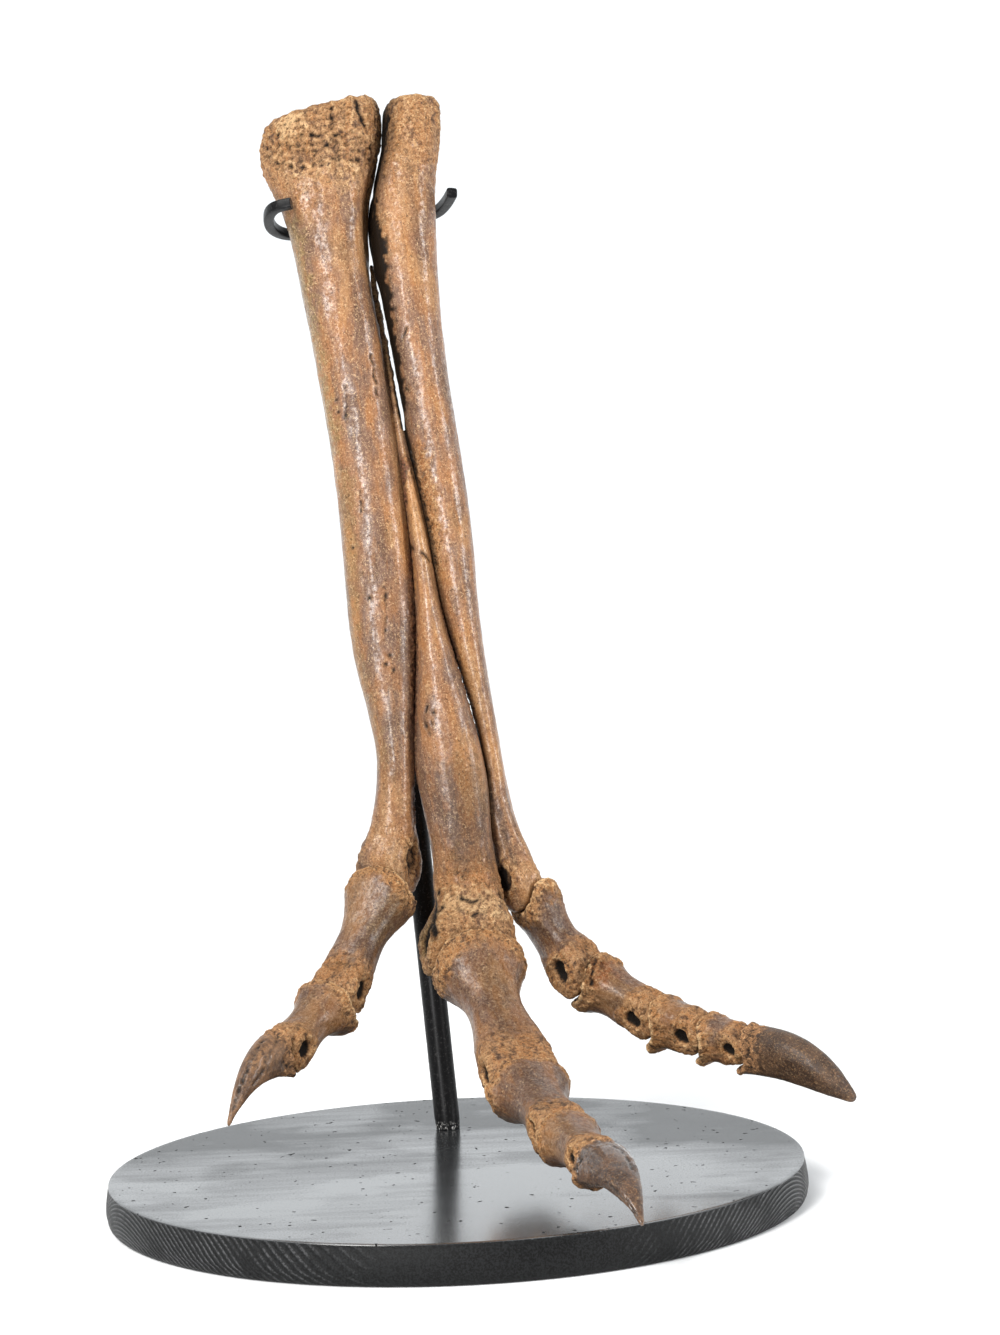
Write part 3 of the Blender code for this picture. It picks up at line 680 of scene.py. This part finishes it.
def solid_tree(node):
    """The solid of a node, for finding what a line of sight or a neighbour meets."""
    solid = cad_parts[node].data
    corners = [tuple(corner.co / MM) for corner in solid.vertices]
    return BVHTree.FromPolygons(corners, [tuple(face.vertices) for face in solid.polygons])


def toe_joints(toe):
    """The joint centres of a toe and the axis that its rollers turn on."""
    joints = [np.add(joint, FOOT_PLACE) for joint in TOE_JOINTS[toe]]
    along = unit(joints[-1] - joints[0])
    level = unit(np.cross(along, (0.0, 0.0, 1.0)))
    dorsal = np.cross(level, along)
    return joints, math.cos(TOE_ROLLS[toe]) * level + math.sin(TOE_ROLLS[toe]) * dorsal


GROOVE, PITS, PATCH = Bone.groove, Bone.pits, Bone.patch

# The marks on each piece: pixels of the photograph, then the width and the other settings of the mark
# The darkness of a groove and a patch of hollow are painted shade.
MARKS = {
    "metatarsal_2": {
        "crust beside the middle bone": (PATCH, ((404, 500), (414, 640), (418, 815)), 4.2, "crust"),
        "rust beside the middle bone": (PATCH, ((408, 500), (418, 640), (420, 800)), 5.0, "rust", 0.5),
        "crust on the thin edge": (PATCH, ((383, 330), (398, 440)), 3.0, "crust", 0.6),
        "olive left side": (PATCH, ((292, 230), (310, 330), (330, 440)), 8.0, "olive", 0.9),
        "olive lower shaft": (PATCH, ((342, 480), (352, 640), (378, 760)), 7.0, "olive", 0.5),
        "pale corner": (PATCH, ((290, 126),), 7.0, "pale", 1.2),
        "pale band": (PATCH, ((300, 170), (350, 175)), 8.0, "pale", 0.35),
        "hollow across the head": (GROOVE, ((262, 148), (300, 150), (340, 147), (374, 152)),
                                   6.5, 2.2, 0.08, 4.0, 0.3),
        "fold below the hollow": (GROOVE, ((268, 163), (300, 166), (330, 160), (362, 162)),
                                  2.5, 1.3, 0.25, 3.0, 0.7),
        "fold above the hollow": (GROOVE, ((275, 138), (300, 136), (345, 134)), 2.0, 1.1, 0.25, 3.5, 0.9),
        "raised corner": (GROOVE, ((292, 122),), 9.0, -1.6),
        "crack in the head": (GROOVE, ((355, 97), (359, 110), (366, 126)), 1.3, 1.8, 1.0, 0.8, 0.1),
        "upright fold": (GROOVE, ((330, 108), (334, 128), (328, 146)), 1.6, 0.9, 0.6, 2.0, 0.6),
        "upper scratch": (GROOVE, ((344, 386), (346, 404), (345, 422)), 0.8, 0.6, 1.0, 1.0, 0.9),
        "middle scratch": (GROOVE, ((360, 492), (361, 512)), 0.8, 0.5, 1.0),
        "lower scratch": (GROOVE, ((385, 588), (387, 612), (384, 640)), 0.8, 0.5, 1.0, 1.0, 0.8),
        "scratch by the edge": (GROOVE, ((372, 355), (378, 395)), 0.8, 0.5, 0.9, 1.5, 0.9),
        "pits in the shaft": (PITS, ((390, 655), (386, 664), (394, 670), (369, 598), (352, 548),
                                     (336, 400), (338, 412)), 1.1, 0.8, 1.0, 0.5, 0.0),
        "dent above the roller": (GROOVE, ((355, 835), (356, 850), (358, 866)), 3.0, 1.2, 0.5)},
    "metatarsal_3": {
        "crust beside the inner bone": (PATCH, ((404, 460), (408, 540), (417, 640), (416, 780)),
                                        3.0, "crust"),
        "crust beside the outer bone": (PATCH, ((432, 560), (450, 640), (476, 730)), 2.5, "crust", 0.7),
        # painted shade on the lower right side, which the light reaches less
        "painted shade on the right side": (PATCH, ((462, 780), (474, 850)), 13.0, "hollow", 0.28),
        "pale ball": (PATCH, ((450, 905), (490, 905)), 9.0, "pale", 0.8),
        "rust above the ball": (PATCH, ((455, 885), (495, 880)), 8.0, "rust", 0.30),
        "olive side of the ball": (PATCH, ((425, 930), (422, 950)), 7.0, "olive", 0.9),
        "upper break": (GROOVE, ((388, 446), (398, 449), (408, 448)), 1.6, 1.6, 1.0, 0.8, 0.1),
        "lower break": (GROOVE, ((412, 548), (424, 554), (430, 560)), 1.3, 1.3, 1.0, 1.0, 0.2),
        "left chip": (GROOVE, ((427, 706), (425, 722), (429, 735)), 1.0, 0.9, 1.0),
        "right chip": (GROOVE, ((433, 710), (431, 724)), 1.0, 0.9, 0.8),
        "upper fold of the ball": (GROOVE, ((438, 893), (470, 902), (502, 896)), 1.8, 1.4, 0.8, 2.0, 0.4),
        "lower fold of the ball": (GROOVE, ((440, 908), (475, 915), (508, 908)), 1.6, 1.2, 0.7, 2.0, 0.5),
        "notch left of the ball": (GROOVE, ((431, 902), (431, 932)), 4.0, 3.0, 1.0, 1.0, 0.1)},
    "metatarsal_4": {
        "granular inner side": (PATCH, ((418, 455), (428, 500), (436, 560)), 5.5, "rough", 0.9),
        "crust beside the middle bone": (PATCH, ((430, 560), (455, 650), (480, 740)), 3.0, "crust", 0.9),
        # painted shadow: the inner side lies in the shade of the second long bone
        "painted shadow on the inner side": (PATCH, ((378, 165), (378, 250), (388, 330), (400, 400)), 6.0, "hollow", 0.95),
        "rust on the inner side": (PATCH, ((418, 450), (428, 520)), 5.0, "rust", 0.4),
        "long hollow": (GROOVE, ((371, 290), (383, 345), (398, 415)), 5.0, 1.3, 0.3, 0.5, 0.1),
        "nick": (GROOVE, ((406, 327), (402, 340)), 1.0, 0.9, 1.0, 0.8, 0.2),
        "dent in the head": (GROOVE, ((388, 118), (386, 134)), 2.5, 0.9, 0.7),
        "dent above the roller": (GROOVE, ((495, 800), (505, 835), (515, 862)), 2.5, 0.8, 0.4)},
    "toe_2_bone_1": {
        "dimple": (GROOVE, ((340, 962),), 8.0, 2.0, 0.2, 1.0, 0.2),
        "long hollow above the roller": (GROOVE, ((368, 1000), (362, 1020)), 3.0, 1.2, 0.6),
        "olive below the cup": (PATCH, ((395, 905), (380, 930)), 8.0, "olive", 0.3)},
    "toe_3_bone_1": {
        "dimple": (GROOVE, ((515, 1030),), 9.0, 1.0, 0.2, 1.0, 0.2)},
    "toe_3_bone_2": {
        "dimple": (GROOVE, ((548, 1104),), 6.0, 0.8, 0.2, 1.0, 0.2),
        "lump at the left": (GROOVE, ((487, 1092), (494, 1102)), 6.0, -2.6, 0.0, 1.0, 0.3)},
    "toe_4_bone_1": {
        "dimple": (GROOVE, ((588, 944),), 6.5, 2.0, 0.2, 1.0, 0.2),
        "raised lip": (GROOVE, ((538, 884), (552, 886)), 5.0, -1.8, 0.0, 1.0, 0.3)},
    "toe_4_bone_2": {
        "rusty broken skin": (PATCH, ((580, 955), (598, 970)), 8.0, "rust"),
        "upper crack": (GROOVE, ((575, 960), (590, 956), (604, 968)), 1.8, 1.2, 0.8),
        "left crack": (GROOVE, ((566, 958), (572, 975), (568, 990)), 2.2, 1.6, 1.0),
        "right crack": (GROOVE, ((584, 950), (594, 966), (590, 984)), 1.5, 1.2, 0.8, 2.0)},
    "toe_2_claw": {
        "left crack": (GROOVE, ((262, 1040), (250, 1062), (240, 1088), (233, 1108)), 1.1, 1.2, 0.9),
        "right crack": (GROOVE, ((280, 1036), (268, 1060), (254, 1084)), 1.1, 1.0, 0.8),
        "dent in the base": (GROOVE, ((284, 1060), (292, 1070)), 2.5, 1.5, 0.6),
        "rust on the base": (PATCH, ((275, 1030), (262, 1060)), 8.0, "rust", 0.5)},
    "toe_3_claw": {
        "side pit": (GROOVE, ((577, 1160), (574, 1172)), 2.6, 2.5, 1.0),
        "upper crack": (GROOVE, ((600, 1140), (622, 1150), (632, 1168)), 1.0, 0.9, 0.8),
        "lower crack": (GROOVE, ((600, 1190), (618, 1200), (632, 1215)), 1.0, 0.8, 0.8),
        "edge of the flake": (GROOVE, ((606, 1182), (624, 1198), (636, 1216)), 0.9, 0.6, 0.7)},
    "toe_4_claw": {
        "rough band": (PATCH, ((752, 1028), (748, 1060)), 7.0, "rough"),
        "fold in the band": (GROOVE, ((752, 1030), (746, 1050), (750, 1068)), 1.8, 1.0, 0.6)}}

# The long bones by toe. rough_ends: how rough, how uneven, and the shares of the length where it sets in.
# pits: half width, radius, depth, darkness of the painted shade. lower_shade: share of LOWER_SHADE, painted
# shade
# towards the toes. relief: dents, lumps, wrinkles. shaded_by: reach, darkness and turn of the painted shade
# from each neighbour. joint_reach: how far its first toe bone shades it.
METATARSALS = {
    2: {"voxel": 0.98, "rough_ends": ((0.9, 1.6, 0.19, 0.04), (0.30, 1.0, 0.90, 0.97)),
        "pits": (17.0, 8.5, 1.5, 0.4), "lower_shade": 1.0, "relief": (0.6, 1.0, 0.30),
        "shaded_by": {3: (2.6, 0.6), 4: (4.0, 0.9)}, "joint_reach": 2.0},
    3: {"voxel": 0.9, "rough_ends": ((0.75, 1.6, 0.84, 0.96), (0.6, 0.0, 0.30, 0.16)),
        "pits": (28.0, 10.0, 2.5), "lower_shade": 1.0, "relief": (0.45, 0.9, 0.25),
        "shaded_by": {2: (2.6, 0.6), 4: (3.0, 0.9)}, "joint_reach": 2.2},
    4: {"voxel": 0.95, "rough_ends": ((0.85, 1.6, 0.18, 0.02), (0.30, 1.0, 0.91, 0.97)),
        "pits": (11.0, 8.0, 1.5, 0.5), "lower_shade": 0.6, "relief": (0.55, 0.8, 0.30),
        "shaded_by": {2: (17.0, 1.0, -0.1), 3: (4.5, 0.9)}, "joint_reach": 2.0}}
HEIGHTS_THAT_TOUCH = {(2, 3): (0.0, 600.0), (2, 4): (488.0, 600.0), (3, 4): (0.0, 400.0)}
FINE_VOXEL = 0.66
COARSER_VOXELS = {"toe_3_bone_1": 0.75}


def metatarsal(toe, material):
    """A long bone, from its rough head down to its roller."""
    look = METATARSALS[toe]
    joints, across = toe_joints(toe)
    head = np.add(HEAD_TOPS[toe], FOOT_PLACE)
    bone = Bone(f"metatarsal_{toe}", head, joints[0], across, look["voxel"])
    uneven = 0.02 * bone.wander[:, 0] + 0.02 * bone.patchy
    for amount, waver, smooth_at, rough_at in look["rough_ends"]:
        bone.mark("rough", amount * rise_between(bone.share + waver * uneven, smooth_at, rough_at))
    bone.make_marks()
    bone.ligament_pit(*look["pits"])
    # painted shade, darker towards the toes
    bone.mark("hollow", look["lower_shade"] * LOWER_SHADE * rise_between(bone.share, 0.45, 0.80))
    bone.weather(*look["relief"])
    for other, shade in look["shaded_by"].items():
        bone.shade_by(f"metatarsal_{other}", *shade)
    bone.shade_by(f"toe_{toe}_bone_1", look["joint_reach"], 0.9)
    for other in look["shaded_by"]:
        low, high = HEIGHTS_THAT_TOUCH[min(toe, other), max(toe, other)]
        bone.meet(f"metatarsal_{other}", low, high)
    bone.finish(material, "fossil_bone")


def toe_piece(toe, index, node, voxel, smoothing):
    """A toe bone or claw with its raised lip, and how far each point lies beyond the cup's rim."""
    joints, across = toe_joints(toe)
    bone = Bone(node, joints[index], joints[index + 1], across, voxel, smoothing)
    radius = ROLLER_RADII[toe][index]
    hollow = np.sqrt(np.maximum(radius**2 - bone.rise**2, 0.0))
    beyond = bone.along - np.maximum(hollow, CUP_FLOOR * radius)
    outside = np.hypot(bone.along, bone.rise) - radius
    # painted shade inside the cup, round the roller
    bone.mark("hollow", rise_between(-outside, -1.5, -0.5))
    thick = rise_between(outside, 0.8, 2.6)
    bone.lift += thick * LIP_HEIGHT * (1.0 + 0.6 * bone.patchy) * rise_between(-beyond, -5.0, -2.0)
    # painted highlight along the top of the lip
    bone.mark("pale", 0.9 * thick * rise_between(-beyond, -4.5, -1.5))
    if index:
        bone.shade_by(f"toe_{toe}_bone_{index}", 2.0, 0.8)
    return bone, beyond


def toe_bone(toe, index, material):
    """One toe bone: rough round its cup and at its roller, smooth at its waist, with side pits."""
    node = f"toe_{toe}_bone_{index + 1}"
    smoothing = 14 if toe == 4 else 7
    bone, beyond = toe_piece(toe, index, node, COARSER_VOXELS.get(node, FINE_VOXEL), smoothing)
    uneven = 2.5 * bone.patchy + 2.0 * bone.wander[:, 1]
    collar = COLLAR_SHARE * ROLLER_RADII[toe][index]
    bone.mark("rough", rise_between(-(beyond + uneven), -collar - 3.0, -collar + 3.0))
    bone.mark("rough", 0.75 * rise_between(bone.share + 0.03 * uneven, 0.74, 0.90))
    bone.shade_by(f"toe_{toe}_claw" if index == toe - 1 else f"toe_{toe}_bone_{index + 2}", 2.0, 0.9)
    radius = ROLLER_RADII[toe][index + 1]
    bone.ligament_pit(ROLLER_HALF_WIDTHS[toe][index + 1], 0.44 * radius, 0.20 * radius)
    bone.make_marks()
    bone.weather(0.7, lumps=0.8, wrinkles=0.15)
    bone.finish(material, "fossil_bone")


def claw_core(toe):
    """A claw: a rough base, then a smooth horn core."""
    bone, beyond = toe_piece(toe, toe, f"toe_{toe}_claw", FINE_VOXEL, 6)
    uneven = 2.5 * bone.patchy + 1.5 * bone.wander[:, 1]
    rough_to = CLAWS[toe]["rough_to"]
    bone.mark("rough", rise_between(-(beyond + uneven), -rough_to - 3.0, -rough_to + 1.5))
    bone.make_marks()
    bone.weather(0.35, lumps=0.8, wrinkles=0.2, fibres=0.12)
    bone.finish(claw_finish(CLAWS[toe]), "fossil_claw")


# The stand

BOARD_SIDES = 220
SIDE_SWELL = 1.9                       # how far the board's side swells out
SIDE_UNEVEN = 0.22
WORN_EDGE = (2.4, 4.0)                 # how far in and how far up the worn lower edge reaches
POST_SIDES = 48
POST_RINGS = 90
POST_UNEVEN = 0.05
POST_END = 0.93                        # the post's ends are this much narrower


def corner_angles(sides):
    """The angles of a ring's corners."""
    return [2.0 * math.pi * side / sides for side in range(sides)]


def skin(work, rings):
    """Faces between each ring of corners and the next."""
    for low, high in zip(rings, rings[1:]):
        for side in range(len(low)):
            after = (side + 1) % len(low)
            work.faces.new((low[side], low[after], high[after], high[side]))


def made_mesh(name, work):
    """A mesh from the work, with its faces turned outwards."""
    bmesh.ops.recalc_face_normals(work, faces=work.faces)
    mesh = bpy.data.meshes.new(name)
    work.to_mesh(mesh)
    work.free()
    return mesh


def board_profile():
    """Radii and heights from the middle of the board's underside, round its edge, to its top's middle."""
    thick = BOARD_THICKNESS
    edge_in, edge_up = WORN_EDGE
    profile = [(BOARD_RADIUS - 30.0, 0.0), (BOARD_RADIUS - 2.6, 0.0)]
    for turn in np.linspace(-80.0, 0.0, 7):
        angle = math.radians(turn)
        profile.append((BOARD_RADIUS - 1.0 + edge_in * math.cos(angle), edge_up + edge_up * math.sin(angle)))
    for share in np.linspace(0.28, 0.94, 16):
        swell = SIDE_SWELL * math.sin(math.pi * (0.25 + 0.75 * share))
        profile.append((BOARD_RADIUS + swell, thick * share))
    profile += [(BOARD_RADIUS + 0.25, thick - 0.45), (BOARD_RADIUS - 0.05, thick - 0.12),
                (BOARD_RADIUS - 0.45, thick), (BOARD_RADIUS - 3.0, thick)]
    return profile + [(radius, thick) for radius in np.linspace(BOARD_RADIUS - 8.0, 6.0, 30)]


def board_look(top, side_material):
    """The round board: a crisp top edge, a slightly swollen side and a worn lower edge."""
    thick = BOARD_THICKNESS
    work = bmesh.new()
    rings = []
    for radius, height in board_profile():
        ring = []
        on_side = thick * 0.15 < height < thick - 0.05
        for angle in corner_angles(BOARD_SIDES):
            right, back = math.cos(angle), math.sin(angle)
            uneven = SIDE_UNEVEN * noise.noise((2.5 * right, 2.5 * back, height * 0.12))
            reach = radius + (uneven if on_side else 0.0)
            ring.append(work.verts.new((reach * right * MM, reach * back * MM, height * MM)))
        rings.append(ring)
    skin(work, rings)
    for ring, height in ((rings[0], 0.0), (rings[-1], thick)):
        middle = work.verts.new((0.0, 0.0, height * MM))
        for side in range(BOARD_SIDES):
            work.faces.new((ring[side], ring[(side + 1) % BOARD_SIDES], middle))
    mesh = made_mesh("board", work)
    add_piece("base_board", mesh, top)
    mesh.materials.append(side_material)
    for face in mesh.polygons:
        face.material_index = 0 if face.normal.z > 0.5 else 1
    mesh.set_sharp_from_angle(angle=math.radians(28.0))


def yoke_look(material):
    """The square bar of the cradle, with its bends smoothed out and its edges kept."""
    mesh = dense_mesh("yoke", 3, crispness=0.75)
    add_piece("yoke", mesh, material)
    mesh.set_sharp_from_angle(angle=math.radians(40.0))


def post_look(material):
    """The round post: a true cylinder along the solid's two end rings."""
    low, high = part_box("post")
    points = np.array([tuple(corner.co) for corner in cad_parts["post"].data.vertices]) / MM
    foot_ring = points[points[:, 2] < low.z / MM + 1.0]
    foot = foot_ring.mean(axis=0)
    top = points[points[:, 2] > high.z / MM - 1.0].mean(axis=0)
    radius = foot_ring[:, 0].max() - foot[0]
    work = bmesh.new()
    rings = []
    for share in np.linspace(0.0, 1.0, POST_RINGS):
        middle = foot + (top - foot) * share
        shrink = POST_END if share in (0.0, 1.0) else 1.0
        ring = []
        for angle in corner_angles(POST_SIDES):
            right, back = math.cos(angle), math.sin(angle)
            reach = (radius + POST_UNEVEN * noise.noise((right, back, middle[2] * 0.2))) * shrink
            ring.append(work.verts.new(Vector(middle + (reach * right, reach * back, 0.0)) * MM))
        rings.append(ring)
    skin(work, rings)
    work.faces.new(rings[0][::-1])
    work.faces.new(rings[-1])
    mesh = made_mesh("post", work)
    add_piece("post", mesh, material)
    mesh.set_sharp_from_angle(angle=math.radians(40.0))


# The studio

WALL_GLOW = 1.14                       # the backdrop, behind the foot
ROOM_GLOW = 0.10                       # the room behind the camera
WALL_TINT = (0.94, 0.975, 1.0, 1.0)
GLOW_BLEND = (-0.35, 0.85)             # how far forward and back the one turns into the other
KEY_FROM = (-0.58, -0.60, 0.95)
KEY_POWER = 3.0
KEY_TINT = (1.0, 0.985, 0.96)
KEY_SOFTNESS = math.radians(34.0)
FLOOR_DROP = 0.0004                    # the floor lies this far under the board, in metres
FLOOR_REACH = 12.0
# Soft boxes: where they hang and what they face in metres, their sides, and their power in watts
SOFT_BOXES = {"front_strip": ((-0.62, -1.65, 0.80), (0.0, 0.05, 0.35), (0.22, 0.9), 24.0),
              "right_strip": ((1.20, -0.45, 0.6), (0.0, 0.05, 0.30), (0.18, 1.0), 13.0)}


def turned(made, quaternion):
    """Turn an object."""
    made.rotation_mode = "QUATERNION"
    made.rotation_quaternion = quaternion


def studio_camera():
    """The camera, at the photograph's place and angle."""
    data = bpy.data.cameras.new("view")
    data.sensor_width = SENSOR
    data.lens = VIEW_FOCAL / PHOTO_SIZE[1] * SENSOR
    data.clip_start = 0.05
    data.clip_end = 50.0
    made = put("view", data)
    turn = Matrix((VIEW_RIGHT, VIEW_UP, -VIEW_AHEAD)).transposed()
    made.matrix_world = Matrix.Translation(VIEW_FROM * MM) @ turn.to_4x4()
    bpy.context.scene.camera = made


def paper_floor():
    """A plain white floor."""
    mesh = bpy.data.meshes.new("floor")
    work = bmesh.new()
    bmesh.ops.create_grid(work, x_segments=2, y_segments=2, size=FLOOR_REACH)
    work.to_mesh(mesh)
    work.free()
    floor = put("floor", mesh)
    floor.location = (0.0, 0.0, -FLOOR_DROP)
    paper = Finish("floor_paper", Base_Color=(0.92, 0.93, 0.94, 1.0), Roughness=0.9, Specular_IOR_Level=0.1)
    mesh.materials.append(paper.material)


def surroundings():
    """Pale surroundings, bright behind the foot and dim behind the camera."""
    world = bpy.data.worlds.new("surroundings")
    world.use_nodes = True
    tree = world.node_tree
    backdrop = tree.nodes["Background"]
    backdrop.inputs["Color"].default_value = WALL_TINT
    place = tree.nodes.new("ShaderNodeTexCoord")
    parts = tree.nodes.new("ShaderNodeSeparateXYZ")
    ramp = tree.nodes.new("ShaderNodeMapRange")
    ramp.interpolation_type = "SMOOTHSTEP"
    ramp.inputs["From Min"].default_value, ramp.inputs["From Max"].default_value = GLOW_BLEND
    ramp.inputs["To Min"].default_value = ROOM_GLOW
    ramp.inputs["To Max"].default_value = WALL_GLOW
    tree.links.new(place.outputs["Generated"], parts.inputs[0])
    tree.links.new(parts.outputs["Y"], ramp.inputs["Value"])
    tree.links.new(ramp.outputs["Result"], backdrop.inputs["Strength"])
    bpy.context.scene.world = world


def lights():
    """One soft key light and two soft boxes."""
    data = bpy.data.lights.new("key", "SUN")
    data.energy = KEY_POWER
    data.angle = KEY_SOFTNESS
    data.color = KEY_TINT
    turned(put("key", data), Vector(KEY_FROM).to_track_quat("Z", "Y"))
    for name, (place, target, sides, power) in SOFT_BOXES.items():
        data = bpy.data.lights.new(name, "AREA")
        data.shape = "RECTANGLE"
        data.size, data.size_y = sides
        data.energy = power
        made = put(name, data)
        made.location = place
        turned(made, (Vector(target) - Vector(place)).to_track_quat("-Z", "Y"))


def show():
    """Every piece, then the studio."""
    long_bone = bone_finish("fossil_long_bone_finish", LONG_SHADE)
    for toe in METATARSALS:
        metatarsal(toe, long_bone)
    short_bone = bone_finish("fossil_toe_bone_finish", TOE_SHADE, 0.7, 0.36)
    for toe in CLAWS:
        for index in range(toe):
            toe_bone(toe, index, short_bone)
    for toe in CLAWS:
        claw_core(toe)

    board_look(board_top_finish(), board_side_finish())
    steel = steel_finish()
    post_look(steel)
    yoke_look(steel)

    studio_camera()
    paper_floor()
    surroundings()
    lights()
    bpy.context.scene.view_settings.view_transform = "Standard"


show()
